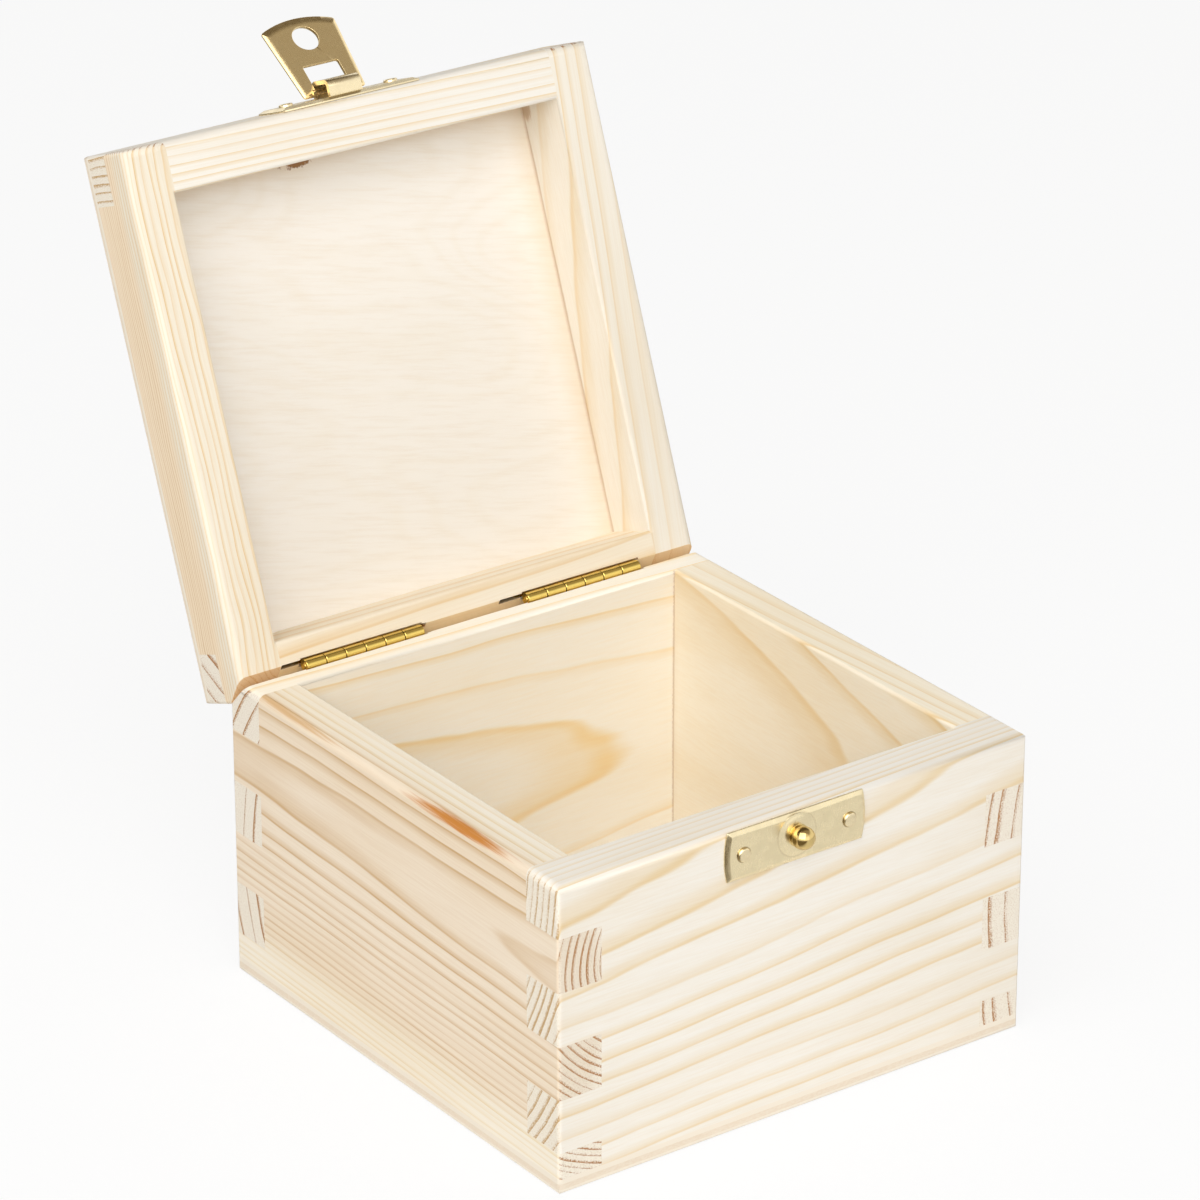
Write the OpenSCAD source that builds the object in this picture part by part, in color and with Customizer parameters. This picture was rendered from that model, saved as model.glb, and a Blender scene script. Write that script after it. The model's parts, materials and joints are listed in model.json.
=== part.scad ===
// Small hinged keepsake box of solid pine with comb joints, plywood panels and brass fittings.
// Origin: middle of the underside. X runs to the right, Y to the back, Z up. Millimetres.
// Every piece is drawn where it lies with the lid open and the hasp tongue swung up.

/* [Case] */
// Width of the case across the front
case_w = 120; // [105:0.5:150]
// Depth of the case from front to back
case_d = 119.5; // [100:0.5:150]
// Height of the base, bottom panel included
base_h = 69.8; // [55:0.1:90]
// Height of the lid, top panel included
lid_h = 17.1; // [15:0.1:24]
// Thickness of the left and right boards
side_t = 10.6; // [9:0.1:13]
// Thickness of the front and back boards
front_t = 11; // [10:0.1:14]
// Thickness of the bottom panel
bottom_t = 3.5; // [2.5:0.1:6]
// Thickness of the lid's top panel
lid_top_t = 2.2; // [1.8:0.1:3.5]
// Gap between the two rims when the lid is shut
rim_gap = 0.15; // [0.1:0.05:0.3]

/* [Comb joints] */
// Height of the uppermost finger at the base rim
top_finger = 11.5; // [9:0.1:14]
// Height of each finger below it
finger = 12.2; // [9:0.1:16]
// Height of the side boards' finger at the lid rim
lid_finger = 8; // [7:0.1:10]

/* [Sanded edges] */
// Radius along the outer rims
rim_round = 1.8; // [0.5:0.1:2.4]
// Radius along the inner rims
inner_round = 0.8; // [0.3:0.1:1.5]
// Radius of the upright corners
corner_round = 0.9; // [0.4:0.1:2]
// Radius along the edges of the two panels
panel_round = 0.9; // [0.4:0.1:1.6]

/* [Hinges] */
// How far the groove along the back reaches in from the back face
groove_in = 5.7; // [5:0.1:7]
// How far the groove reaches up the lid and down the base
groove_high = 6.3; // [5:0.1:7]
// Hinge line, in from the back face
hinge_inset = 4.35; // [4:0.05:4.8]
// Play left at the lid's open stop, in degrees
stop_play = 0.5; // [0.3:0.1:2]
// Middle of each hinge, in from the side face of the case
hinge_from_side = 31.1; // [28:0.1:34]
// Length of each hinge
hinge_len = 30.4; // [24:0.1:34]
// Diameter of the hinge barrel
barrel_d = 2.9; // [2.6:0.1:3.2]
// Knuckles on each hinge
knuckles = 6; // [4:2:8]
// Gap between neighbouring knuckles
knuckle_gap = 0.2; // [0.1:0.05:0.4]
// Diameter of the hinge pin
pin_d = 1.4; // [1:0.1:1.6]
// Clearance round the pin in its knuckles
pin_fit = 0.04; // [0.02:0.01:0.08]
// Thickness of the pressed-in leaves
leaf_t = 0.8; // [0.5:0.05:0.9]
// Depth of the leaves below the hinge line
leaf_depth = 9; // [7:0.1:10]
// How far the left saw slots run on to the left of their hinge
left_slot_before = 5.2; // [0.2:0.1:5.3]
// How far the left saw slots run on to the right of their hinge
left_slot_after = 1.6; // [0.2:0.1:5]
// How far the right saw slots run on to the left of their hinge
right_slot_before = 6.4; // [0.2:0.1:7]
// How far the right saw slots run on to the right of their hinge
right_slot_after = 0.4; // [0.2:0.1:5]
// Clearance round a leaf in its slot
slot_fit = 0.06; // [0.03:0.01:0.12]
// Clearance round the barrel in its pocket
barrel_room = 0.35; // [0.3:0.05:0.5]

/* [Plates and nails] */
// Middle of the hasp and strike, right of the box's middle
hardware_x = -1.1; // [-8:0.1:8]
// Width of the hasp plate and the strike plate
plate_w = 36; // [33:0.1:42]
// Height of both plates
plate_h = 11.2; // [10:0.1:11.4]
// Thickness of both plates
plate_t = 0.9; // [0.7:0.05:1.3]
// Thickness of a plate at its very edge
plate_edge = 0.35; // [0.2:0.05:0.6]
// Width of the pressed bevel round a plate
plate_bevel = 1.1; // [0.6:0.1:1.6]
// Bulge of a plate's short ends
plate_bulge = 0.7; // [0.4:0.1:2.5]
// Distance between the two nails of a plate
nail_span = 27; // [25:0.1:28]
// Diameter of a nail's domed head
nail_head_d = 3.1; // [2.4:0.1:3.6]
// Height of a nail's head
nail_head_h = 0.8; // [0.5:0.05:1]
// Diameter of a nail's shank
nail_d = 1.3; // [1:0.1:1.6]
// Length of a nail's shank
nail_len = 8; // [6:0.1:9]
// Clearance round nails and stud in the plates and the wood
nail_fit = 0.03; // [0.02:0.01:0.06]
// Middle of the strike plate, below the base rim
strike_drop = 5.7; // [5.7:0.1:7]
// Middle of the hasp plate, above the lid rim
hasp_rise = 6.7; // [6.5:0.1:8]

/* [Hasp] */
// Width of the loop that holds the tongue
loop_w = 8.3; // [7:0.1:9]
// Span of the loop, up the plate
loop_span = 7; // [6:0.1:7.6]
// Height of the loop over the plate
loop_h = 3.7; // [3.5:0.1:5]
// Thickness of the loop's strap
loop_t = 0.9; // [0.6:0.05:1]
// Rounding of the loop's outer bends
loop_round = 1.5; // [1.1:0.1:2]
// Play of the tongue's bar in the loop, to each side and to the plate
bar_play = 0.4; // [0.3:0.05:0.6]
// Width of the tongue's root, beside the loop
bar_w = 1.9; // [1.5:0.1:2.1]
// Diameter of the round bar under the loop
bar_d = 1.3; // [1:0.1:1.4]
// Thickness of the tongue
tongue_t = 0.8; // [0.6:0.05:1]
// Width of the tongue at its bar
tongue_root_w = 15.7; // [14:0.1:17]
// Width of the tongue at its free end
tongue_end_w = 19.1; // [16:0.1:21]
// Bulge of the tongue's free end
tongue_bulge = 2; // [1:0.1:2.6]
// Metal left between the hole and the free end
end_margin = 2.5; // [1.5:0.1:3.5]
// Room between the loop and the far side of the tongue's window
window_room = 1.1; // [0.6:0.1:1.6]
// Swing of the tongue from hanging straight down, in degrees
tongue_angle = 122; // [20:1:160]

/* [Strike knob] */
// Middle of the knob, above the middle of the strike plate
knob_rise = 0.6; // [0:0.1:0.8]
// Diameter of the knob's ball
knob_d = 5; // [4.4:0.1:5.2]
// Middle of the ball, above the boss
knob_lift = 1.7; // [1.4:0.1:2.4]
// Diameter of the knob's neck
neck_d = 3.6; // [3:0.1:4]
// Clearance of the tongue's hole round the ball
hole_room = 0.6; // [0.5:0.05:0.8]
// Diameter of the raised boss under the knob
boss_d = 9.2; // [7:0.1:9.4]
// Height of the boss
boss_h = 0.45; // [0.3:0.05:0.6]
// Slope of the boss's flank, as a step in its radius
boss_step = 0.8; // [0.4:0.1:1.2]
// Diameter of the stud that holds the knob in the wood
stud_d = 1.8; // [1.4:0.1:2.2]
// Length of the stud behind the plate
stud_len = 6; // [4:0.1:8]

/* [Hidden] */
$fn = 64;
over = 2;

PINE = "wheat";
PINE_SIDE = "burlywood";
PLY = "navajowhite";
BRASS = "goldenrod";

// The shut lid: its rim, its top and the underside of its panel
lid_low = base_h + rim_gap;
lid_high = lid_low + lid_h;
lid_frame_top = lid_high - lid_top_t;

// Inner half width and half depth of base and lid
inner_x = case_w / 2 - side_t;
inner_y = case_d / 2 - front_t;
front_y = -case_d / 2;
back_y = case_d / 2;

// Finger levels of the base, counted down from the rim
finger_count = ceil((base_h - top_finger - bottom_t) / finger) + 1;
function finger_top(k) = k == 0 ? base_h : base_h - top_finger - (k - 1) * finger;
function finger_foot(k) = max(bottom_t, base_h - top_finger - k * finger);

// Hinge line; the lid stops where the lower edges of its groove and the base's groove meet
hinge_x = case_w / 2 - hinge_from_side;
axis_y = back_y - hinge_inset;
axis_z = base_h + rim_gap / 2;
open_angle = 2 * atan((groove_high + rim_gap / 2) / hinge_inset) - stop_play;

// Hinge leaves stand against the front of the barrel
barrel_r = barrel_d / 2;
leaf_bite = 0.05;
leaf_front_y = axis_y - barrel_r + leaf_bite;
leaf_start = barrel_r + barrel_room;
knuckle_pitch = hinge_len / knuckles;
bore_d = pin_d + 2 * pin_fit;
pocket_end = 0.5;

// Plates: their front faces, and the radius of their bulging ends
plate_front_y = front_y - plate_t;
plate_end_r = (plate_bulge ^ 2 + (plate_h / 2) ^ 2) / (2 * plate_bulge);
plate_core_w = plate_w - 2 * plate_end_r > plate_w / 2 ? plate_w - 2 * plate_end_r : plate_w / 2;
strike_z = base_h - strike_drop;
knob_z = strike_z + knob_rise;
hasp_z = lid_low + hasp_rise;

// Tongue: its bar turns at the upper end of the loop, and its hole meets the knob when the lid is shut
pivot_lift = bar_w / 2 + bar_play;
pivot_y = plate_front_y - pivot_lift;
pivot_rise = loop_span / 2 - loop_t - bar_d / 2 - bar_play;
pivot_z = hasp_z + pivot_rise;
tongue_reach = pivot_z - knob_z;
hole_d = knob_d + 2 * hole_room;
tongue_end = tongue_reach + hole_d / 2 + end_margin;
tongue_end_r = (tongue_bulge ^ 2 + (tongue_end_w / 2) ^ 2) / (2 * tongue_bulge);
window_w = loop_w + 2 * bar_play;
window_end = norm([loop_span / 2 + pivot_rise, loop_h - pivot_lift]) + window_room;
loop_root = 0.4 * plate_t;

// Domed nail heads are caps of a sphere
nail_cap_r = (nail_head_h ^ 2 + (nail_head_d / 2) ^ 2) / (2 * nail_head_h);
nail_tip = 2 * nail_d;

// Sweeps an outline drawn in X and Z along Y, through the whole case
module along_y(length) {
    rotate([90, 0, 0]) linear_extrude(length, center = true) children();
}

// Sweeps an outline drawn in Y and Z along X, through the whole case
module along_x(length) {
    rotate([90, 0, 90]) linear_extrude(length, center = true) children();
}

// What a rounding of radius r takes from the corner p that points along the signs s
module corner_cut(p, s, r) {
    translate(p) difference() {
        translate([s.x > 0 ? -r : -over, s.y > 0 ? -r : -over]) square(r + over);
        translate([-s.x * r, -s.y * r]) circle(r);
    }
}

// Rectangle between two heights with its lower and upper corners rounded
module rounded_view(width, low, high, low_r, high_r) {
    difference() {
        translate([-width / 2, low]) square([width, high - low]);
        for (side = [-1, 1]) {
            corner_cut([side * width / 2, low], [side, -1], low_r);
            corner_cut([side * width / 2, high], [side, 1], high_r);
        }
    }
}

// Groove along the back, cut into a rim that faces up (1) or down (-1)
module groove_cut(rim, facing) {
    polygon([
        [back_y - groove_in, rim],
        [back_y, rim - facing * groove_high],
        [back_y + over, rim - facing * groove_high],
        [back_y + over, rim + facing * over],
        [back_y - groove_in, rim + facing * over]
    ]);
}

// Rounded plan of the case
module case_plan() {
    difference() {
        square([case_w, case_d], center = true);
        for (sx = [-1, 1], sy = [-1, 1]) {
            corner_cut([sx * case_w / 2, sy * case_d / 2], [sx, sy], corner_round);
        }
    }
}

// Outer form that all pieces of the base or of the lid are cut from
module sanded_block(low, high, low_r, high_r, rim, facing) {
    intersection() {
        translate([0, 0, low]) linear_extrude(high - low) case_plan();
        along_y(case_d + 2 * over) rounded_view(case_w, low, high, low_r, high_r);
        along_x(case_w + 2 * over) difference() {
            rounded_view(case_d, low, high, low_r, high_r);
            groove_cut(rim, facing);
        }
    }
}

module base_block() {
    sanded_block(0, base_h, panel_round, rim_round, base_h, 1);
}

module lid_block() {
    sanded_block(lid_low, lid_high, rim_round, panel_round, lid_low, -1);
}

// Outline of the rounding along an inner rim, for walls at plus and minus half
module flare_view(half, rim, facing) {
    foot = rim - facing * inner_round;
    difference() {
        translate([-half - inner_round, min(foot, rim + facing * over)])
            square([2 * (half + inner_round), inner_round + over]);
        for (side = [-1, 1]) translate([side * (half + inner_round), foot]) circle(inner_round);
    }
}

// What the rounding takes from the four inner rims
module inner_flare(rim, facing) {
    intersection() {
        along_y(case_d) flare_view(inner_x, rim, facing);
        along_x(case_w) flare_view(inner_y, rim, facing);
    }
}

// Levels of the comb joint in a view of one board: a run of the given width at each listed level
module comb_view(core_w, full_w, low, high, levels) {
    translate([-core_w / 2, low]) square([core_w, high - low]);
    for (level = levels) {
        translate([-full_w / 2, level[0]]) square([full_w, level[1] - level[0]]);
    }
}

base_front_levels = [for (k = [0:2:finger_count - 1]) [finger_foot(k), finger_top(k)]];
base_side_levels = [for (k = [1:2:finger_count - 1]) [finger_foot(k), finger_top(k)]];
lid_side_levels = [[lid_low, lid_low + lid_finger]];
lid_front_levels = [[lid_low + lid_finger, lid_frame_top]];

// A front or back board before its holes; side is -1 in front and 1 at the back
module long_board(side, low, high, levels) {
    translate([0, side * (case_d - front_t) / 2, 0])
        along_y(front_t) comb_view(2 * inner_x, case_w, low, high, levels);
}

// A left or right board; side is -1 on the left and 1 on the right
module side_board(side, low, high, levels) {
    translate([side * (case_w - side_t) / 2, 0, 0])
        along_x(side_t) comb_view(2 * inner_y, case_d, low, high, levels);
}

// A piece of the base, cut to the sanded form
module base_piece() {
    difference() {
        intersection() {
            children();
            base_block();
        }
        inner_flare(base_h, 1);
    }
}

// A piece of the lid, cut to the sanded form of the shut lid
module lid_piece() {
    difference() {
        intersection() {
            children();
            lid_block();
        }
        inner_flare(lid_low, -1);
    }
}

// Turns the shut lid's pieces back about the hinge line
module opened() {
    translate([0, axis_y, axis_z]) rotate([-open_angle, 0, 0]) translate([0, -axis_y, -axis_z]) children();
}

// Saw slot and barrel pocket of one hinge; facing is 1 in the base and -1 in the lid
module hinge_seat(x, before, after, facing) {
    reach = leaf_depth + slot_fit + over;
    slot_w = leaf_t + 2 * slot_fit;
    translate([x - hinge_len / 2 - before, leaf_front_y - slot_fit, axis_z])
        translate([0, 0, facing > 0 ? over - reach : -over])
            cube([hinge_len + before + after, slot_w, reach]);
    translate([x, axis_y, axis_z]) rotate([0, 90, 0])
        cylinder(r = barrel_r + barrel_room, h = hinge_len + 2 * pocket_end, center = true);
}

module hinge_seats(facing) {
    hinge_seat(-hinge_x, left_slot_before, left_slot_after, facing);
    hinge_seat(hinge_x, right_slot_before, right_slot_after, facing);
}

// One leaf with every second knuckle; it points down (-1) or up (1) from the hinge line
module hinge_leaf(x, pointing, first) {
    knuckle_w = knuckle_pitch - knuckle_gap;
    translate([x, axis_y, axis_z]) difference() {
        union() {
            translate([-hinge_len / 2, leaf_front_y - axis_y, pointing > 0 ? leaf_start : -leaf_depth])
                cube([hinge_len, leaf_t, leaf_depth - leaf_start]);
            for (k = [first:2:knuckles - 1]) {
                translate([-hinge_len / 2 + k * knuckle_pitch + knuckle_gap / 2, 0, 0]) {
                    rotate([0, 90, 0]) cylinder(d = barrel_d, h = knuckle_w);
                    translate([0, leaf_front_y - axis_y, pointing > 0 ? 0 : -leaf_start - leaf_bite])
                        cube([knuckle_w, leaf_t, leaf_start + leaf_bite]);
                }
            }
        }
        rotate([0, 90, 0]) cylinder(d = bore_d, h = hinge_len + over, center = true);
    }
}

module hinge_pin(x) {
    translate([x, axis_y, axis_z]) rotate([0, 90, 0])
        cylinder(d = pin_d, h = hinge_len, center = true);
}

// Plate with bulging ends and a pressed bevel, its back on the wood and its middle at height z
module plate_blank(z) {
    view = [
        [-plate_h / 2, 0],
        [-plate_h / 2, plate_edge],
        [plate_bevel - plate_h / 2, plate_t],
        [plate_h / 2 - plate_bevel, plate_t],
        [plate_h / 2, plate_edge],
        [plate_h / 2, 0]
    ];
    end = [
        [0, 0],
        [plate_end_r, 0],
        [plate_end_r, plate_edge],
        [plate_end_r - plate_bevel, plate_t],
        [0, plate_t]
    ];
    translate([hardware_x, front_y, z]) rotate([90, 0, 0]) intersection() {
        rotate([90, 0, 90]) linear_extrude(plate_w + 2 * over, center = true) polygon(view);
        union() {
            translate([-plate_core_w / 2, -plate_h / 2, 0]) cube([plate_core_w, plate_h, plate_t]);
            plate_end() rotate_extrude() polygon(end);
            mirror([1, 0, 0]) plate_end() rotate_extrude() polygon(end);
        }
    }
}

// Right half of the disc whose rim is the bulging right end of a plate
module plate_end() {
    intersection() {
        translate([plate_w / 2 - plate_end_r, 0, 0]) children();
        translate([0, -plate_h, 0]) cube([plate_w, 2 * plate_h, plate_t]);
    }
}

// A shaft of the given diameter straight back from the front of a plate
module shaft(x, z, d, length) {
    translate([x, plate_front_y, z]) rotate([-90, 0, 0]) cylinder(d = d, h = length);
}

module nail_holes(z) {
    for (side = [-1, 1]) {
        translate([0, -over, 0]) shaft(
            hardware_x + side * nail_span / 2, z, nail_d + 2 * nail_fit, nail_len + nail_fit + over);
    }
}

module stud_hole() {
    translate([0, -over, 0]) shaft(
        hardware_x, knob_z, stud_d + 2 * nail_fit, stud_len + plate_t + nail_fit + over);
}

// Round-headed nail, its head on a plate and its shank in the wood
module nail() {
    rotate([-90, 0, 0]) {
        intersection() {
            translate([0, 0, nail_cap_r - nail_head_h]) sphere(nail_cap_r);
            translate([0, 0, -nail_head_h]) cylinder(d = nail_head_d + over, h = nail_head_h);
        }
        cylinder(d = nail_d, h = nail_len - nail_tip);
        translate([0, 0, nail_len - nail_tip]) cylinder(d1 = nail_d, d2 = 0, h = nail_tip);
    }
}

module nails(z) {
    for (side = [-1, 1]) {
        translate([hardware_x + side * nail_span / 2, plate_front_y, z]) nail();
    }
}

module base_front_board() {
    color(PINE) difference() {
        base_piece() long_board(-1, bottom_t, base_h, base_front_levels);
        nail_holes(strike_z);
        stud_hole();
    }
}

module base_back_board() {
    color(PINE) difference() {
        base_piece() long_board(1, bottom_t, base_h, base_front_levels);
        hinge_seats(1);
    }
}

module base_left_board() {
    color(PINE_SIDE) base_piece() side_board(-1, bottom_t, base_h, base_side_levels);
}

module base_right_board() {
    color(PINE_SIDE) base_piece() side_board(1, bottom_t, base_h, base_side_levels);
}

module base_bottom_panel() {
    color(PLY) intersection() {
        translate([-case_w / 2, front_y, 0]) cube([case_w, case_d, bottom_t]);
        base_block();
    }
}

module lid_front_board() {
    color(PINE) opened() difference() {
        lid_piece() long_board(-1, lid_low, lid_frame_top, lid_front_levels);
        nail_holes(hasp_z);
    }
}

module lid_back_board() {
    color(PINE) opened() difference() {
        lid_piece() long_board(1, lid_low, lid_frame_top, lid_front_levels);
        hinge_seats(-1);
    }
}

module lid_left_board() {
    color(PINE_SIDE) opened() lid_piece() side_board(-1, lid_low, lid_frame_top, lid_side_levels);
}

module lid_right_board() {
    color(PINE_SIDE) opened() lid_piece() side_board(1, lid_low, lid_frame_top, lid_side_levels);
}

module lid_top_panel() {
    color(PLY) opened() intersection() {
        translate([-case_w / 2, front_y, lid_frame_top]) cube([case_w, case_d, lid_top_t]);
        lid_block();
    }
}

module left_hinge_base_leaf() {
    color(BRASS) hinge_leaf(-hinge_x, -1, 0);
}

module left_hinge_lid_leaf() {
    color(BRASS) opened() hinge_leaf(-hinge_x, 1, 1);
}

module left_hinge_pin() {
    color(BRASS) hinge_pin(-hinge_x);
}

module right_hinge_base_leaf() {
    color(BRASS) hinge_leaf(hinge_x, -1, 0);
}

module right_hinge_lid_leaf() {
    color(BRASS) opened() hinge_leaf(hinge_x, 1, 1);
}

module right_hinge_pin() {
    color(BRASS) hinge_pin(hinge_x);
}

module strike_plate() {
    color(BRASS) difference() {
        union() {
            plate_blank(strike_z);
            translate([hardware_x, plate_front_y + plate_t / 2, knob_z]) rotate([90, 0, 0]) {
                cylinder(d = boss_d, h = plate_t / 2);
                translate([0, 0, plate_t / 2])
                    cylinder(d1 = boss_d, d2 = boss_d - 2 * boss_step, h = boss_h);
            }
        }
        nail_holes(strike_z);
        stud_hole();
    }
}

module strike_nails() {
    color(BRASS) nails(strike_z);
}

// Ball on a short neck, cut flat where it sits on the boss, with a stud behind it
module strike_knob() {
    color(BRASS) {
        translate([hardware_x, plate_front_y - boss_h, knob_z]) rotate([90, 0, 0]) {
            cylinder(d = neck_d, h = knob_lift);
            intersection() {
                translate([0, 0, knob_lift]) sphere(d = knob_d);
                translate([-knob_d, -knob_d, 0]) cube(2 * knob_d);
            }
        }
        translate([0, -boss_h - knob_lift / 2, 0])
            shaft(hardware_x, knob_z, stud_d, stud_len + plate_t + boss_h + knob_lift / 2);
    }
}

// Side view of the loop's strap: up the plate in X, out from the plate in Y
module loop_view() {
    inner_span = loop_span - 2 * loop_t;
    inner_h = loop_h - loop_t;
    difference() {
        rounded_view(loop_span, -loop_root, loop_h, 0, loop_round);
        rounded_view(inner_span, -loop_root - over, inner_h, 0, loop_round - loop_t);
    }
}

module hasp_plate() {
    color(BRASS) opened() difference() {
        union() {
            plate_blank(hasp_z);
            translate([hardware_x, plate_front_y, hasp_z]) rotate([90, 0, 0])
                rotate([90, 0, 90]) linear_extrude(loop_w, center = true) loop_view();
        }
        nail_holes(hasp_z);
        translate([hardware_x, front_y, hasp_z])
            cube([loop_w, 2 * plate_t + over, loop_span - 2 * loop_t], center = true);
    }
}

module hasp_nails() {
    color(BRASS) opened() nails(hasp_z);
}

// Flat view of the tongue: across in X, and out from its bar in Y
module tongue_view() {
    difference() {
        intersection() {
            polygon([
                [-tongue_root_w / 2, -bar_w / 2],
                [tongue_root_w / 2, -bar_w / 2],
                [tongue_end_w / 2, tongue_end],
                [-tongue_end_w / 2, tongue_end]
            ]);
            translate([0, tongue_end - tongue_end_r]) circle(tongue_end_r);
        }
        translate([0, tongue_reach]) circle(d = hole_d);
        translate([-window_w / 2, -bar_w]) square([window_w, window_end + bar_w]);
    }
}

// Tongue with its window closed by the round bar that turns in the loop
module hasp_tongue() {
    color(BRASS) opened() translate([hardware_x, pivot_y, pivot_z]) rotate([-tongue_angle, 0, 0]) {
        rotate([-90, 0, 0]) linear_extrude(tongue_t, center = true) tongue_view();
        rotate([0, 90, 0]) cylinder(d = bar_d, h = window_w + bar_w, center = true);
    }
}

base_front_board();
base_back_board();
base_left_board();
base_right_board();
base_bottom_panel();
lid_front_board();
lid_back_board();
lid_left_board();
lid_right_board();
lid_top_panel();
left_hinge_base_leaf();
left_hinge_lid_leaf();
left_hinge_pin();
right_hinge_base_leaf();
right_hinge_lid_leaf();
right_hinge_pin();
strike_plate();
strike_nails();
strike_knob();
hasp_plate();
hasp_nails();
hasp_tongue();
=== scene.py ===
# %% [markdown]
# # A hinged pine box with a brass hasp
# The box is a small craft box: pine boards comb-jointed at the corners, a plywood bottom and top, two pressed-in
# hinges and a hasp that drops over a knob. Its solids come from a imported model, in metres, with the lid standing
# open. This lesson dresses them: it softens the boards, gives each its own growth rings, and makes the fittings
# look pressed, turned and rolled.

# %% Load the solids
import json
import math

import bmesh
import bpy
from mathutils import Matrix, Vector


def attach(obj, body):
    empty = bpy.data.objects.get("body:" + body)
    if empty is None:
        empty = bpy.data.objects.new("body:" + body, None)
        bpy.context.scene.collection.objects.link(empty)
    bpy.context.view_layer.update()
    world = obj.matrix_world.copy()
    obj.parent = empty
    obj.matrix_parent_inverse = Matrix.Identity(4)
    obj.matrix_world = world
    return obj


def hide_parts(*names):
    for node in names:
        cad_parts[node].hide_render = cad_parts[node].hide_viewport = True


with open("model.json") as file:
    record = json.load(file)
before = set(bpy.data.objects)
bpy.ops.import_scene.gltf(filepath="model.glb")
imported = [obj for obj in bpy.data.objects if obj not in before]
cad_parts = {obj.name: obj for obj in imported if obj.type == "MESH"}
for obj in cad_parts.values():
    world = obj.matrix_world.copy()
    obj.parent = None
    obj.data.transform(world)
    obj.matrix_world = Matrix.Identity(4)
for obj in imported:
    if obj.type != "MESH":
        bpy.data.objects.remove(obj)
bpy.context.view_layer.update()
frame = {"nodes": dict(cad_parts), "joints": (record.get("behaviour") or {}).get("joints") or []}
MM = 0.001
scene = bpy.context.scene

# %% [markdown]
# ## The shut box
# Every size of the box is easiest to think of with the lid shut, in millimetres. The lid's pieces are drawn open,
# so a point of the shut lid is turned about the hinge line to find it in the model. The angle and the line come
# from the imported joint, and nothing is typed twice.

# %% The hinge line, and turning a shut point open
lid_joint = next(j for j in frame["joints"] if j["name"] == "lid_hinge")
hinge_line = Vector(lid_joint["pos_m"])
open_angle = math.radians(abs(min(lid_joint["range_deg"])))
opening = (Matrix.Translation(hinge_line) @ Matrix.Rotation(-open_angle, 4, "X")
           @ Matrix.Translation(-hinge_line))


def as_drawn(way, on_lid):
    """A direction of the shut box, as it stands in the model."""
    return (opening.to_3x3() if on_lid else Matrix.Identity(3)) @ Vector(way).normalized()


print("lid opens by", round(math.degrees(open_angle), 2), "degrees about y, z =", hinge_line.y, hinge_line.z)

# %% [markdown]
# ## The camera
# The box is seen from its front left corner and a little above, through a long lens, so its upright edges stay
# nearly upright. A camera looks along its own -Z, so the quickest way to aim it is to turn that axis towards a
# point with `to_track_quat`.

# %% Camera
eye = Vector((-0.66432692, -0.9060065, 0.61113714))
aim = Vector((-0.00420263, 0.0030518, 0.09408862))
lens = bpy.data.cameras.new("view")
lens.sensor_width = 36
lens.sensor_height = 36
lens.lens = 178.124
camera = bpy.data.objects.new("view", lens)
scene.collection.objects.link(camera)
camera.location = eye
camera.rotation_euler = (aim - eye).to_track_quat("-Z", "Y").to_euler()
scene.camera = camera
scene.view_settings.view_transform = "Standard"
print("camera", round((aim - eye).length, 3), "m from the box")

# %% [markdown]
# ## Small helpers for node trees
# Materials, the sky and the table are all built from nodes. Adding and joining them one by one takes many lines, so
# a few helpers come first: one adds any node, the others stand for a sum, a soft step, a mix and a noise.

# %% Helpers for node trees
def add_node(tree, kind, settings=None, **sockets):
    """A new node; a socket given a link is joined to it, and one given a value is set."""
    made = tree.nodes.new(kind)
    for name, value in (settings or {}).items():
        setattr(made, name, value)
    for name, value in sockets.items():
        key = int(name[1:]) if name[0] == "i" and name[1:].isdigit() else name.replace("_", " ")
        if isinstance(value, bpy.types.NodeSocket):
            tree.links.new(value, made.inputs[key])
        else:
            made.inputs[key].default_value = value
    return made


def calc(tree, operation, a, b=0.0, c=0.0):
    """One sum of a Math node."""
    return add_node(tree, "ShaderNodeMath", {"operation": operation}, i0=a, i1=b, i2=c).outputs[0]


def vec(tree, operation, a, b=(0, 0, 0), out="Vector"):
    """One sum of a Vector Math node."""
    return add_node(tree, "ShaderNodeVectorMath", {"operation": operation}, i0=a, i1=b).outputs[out]


def ease(tree, value, low, high, to_low=0.0, to_high=1.0):
    """A soft step: value runs from low to high, the result from to_low to to_high."""
    return add_node(tree, "ShaderNodeMapRange", {"interpolation_type": "SMOOTHSTEP"}, i0=value, i1=low, i2=high,
                    i3=to_low, i4=to_high).outputs[0]


def blend_colour(tree, share, a, b, way="MIX"):
    """Two colours mixed by a share."""
    return add_node(tree, "ShaderNodeMix", {"data_type": "RGBA", "blend_type": way}, i0=share, i6=a, i7=b).outputs[2]


def noise(tree, place, stretch, detail, rough=0.5):
    """Soft noise; a larger number in stretch makes it finer that way."""
    return add_node(tree, "ShaderNodeTexNoise", None, Scale=1.0, Detail=detail, Roughness=rough,
                    Vector=vec(tree, "MULTIPLY", place, stretch))


print("helpers for nodes: sums, soft steps, mixes and noise")


# %% Colours, and a new material
def tone(red, green, blue):
    """A colour as it is read on a screen, 0 to 255, as the light values that Blender wants."""
    def light(v):
        v /= 255
        return v / 12.92 if v <= 0.04045 else ((v + 0.055) / 1.055) ** 2.4
    return (light(red), light(green), light(blue), 1.0)


def new_material(name):
    """An empty material, its node tree and its output."""
    made = bpy.data.materials.new(name)
    made.use_nodes = True
    tree = made.node_tree
    tree.nodes.clear()
    out = add_node(tree, "ShaderNodeOutputMaterial")
    return made, tree, out


print("a screen's middle grey is", round(tone(128, 128, 128)[0], 3), "of full light")

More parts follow.
